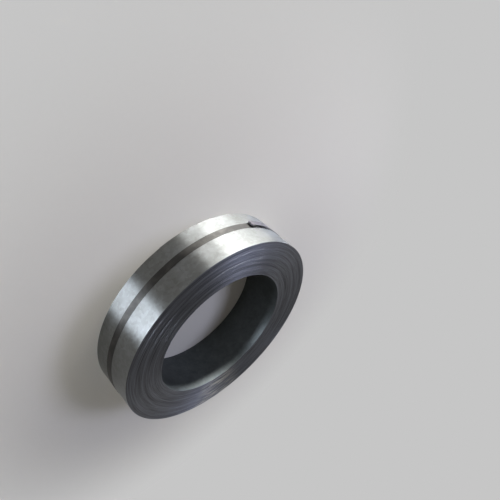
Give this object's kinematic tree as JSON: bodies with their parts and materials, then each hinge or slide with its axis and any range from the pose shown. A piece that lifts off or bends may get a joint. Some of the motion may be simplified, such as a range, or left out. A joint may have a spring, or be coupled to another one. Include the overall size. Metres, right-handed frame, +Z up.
{
  "type": "steel coil",
  "caption": "Narrow slit coil of galvanised steel strip with a round bore, held by one steel strap with a crimped seal.",
  "frame": {"origin": "on the coil's axis at its lower end face", "axes": "+Z up along the bore axis; the coil stands on one end"},
  "size_m": [0.769, 0.7682, 0.167],
  "materials": {
    "galvanised_strip": "hot-dip galvanised, smooth, soft mottled sheen, slit edges grey",
    "black_strapping": "painted and waxed black steel strapping, semi-matt",
    "seal_steel": "painted and waxed steel seal, rubbed bright on its bends"
  },
  "bodies": {
    "root": {"coil": "galvanised_strip", "strap": "black_strapping", "strap_seal": "seal_steel"}
  },
  "joints": []
}
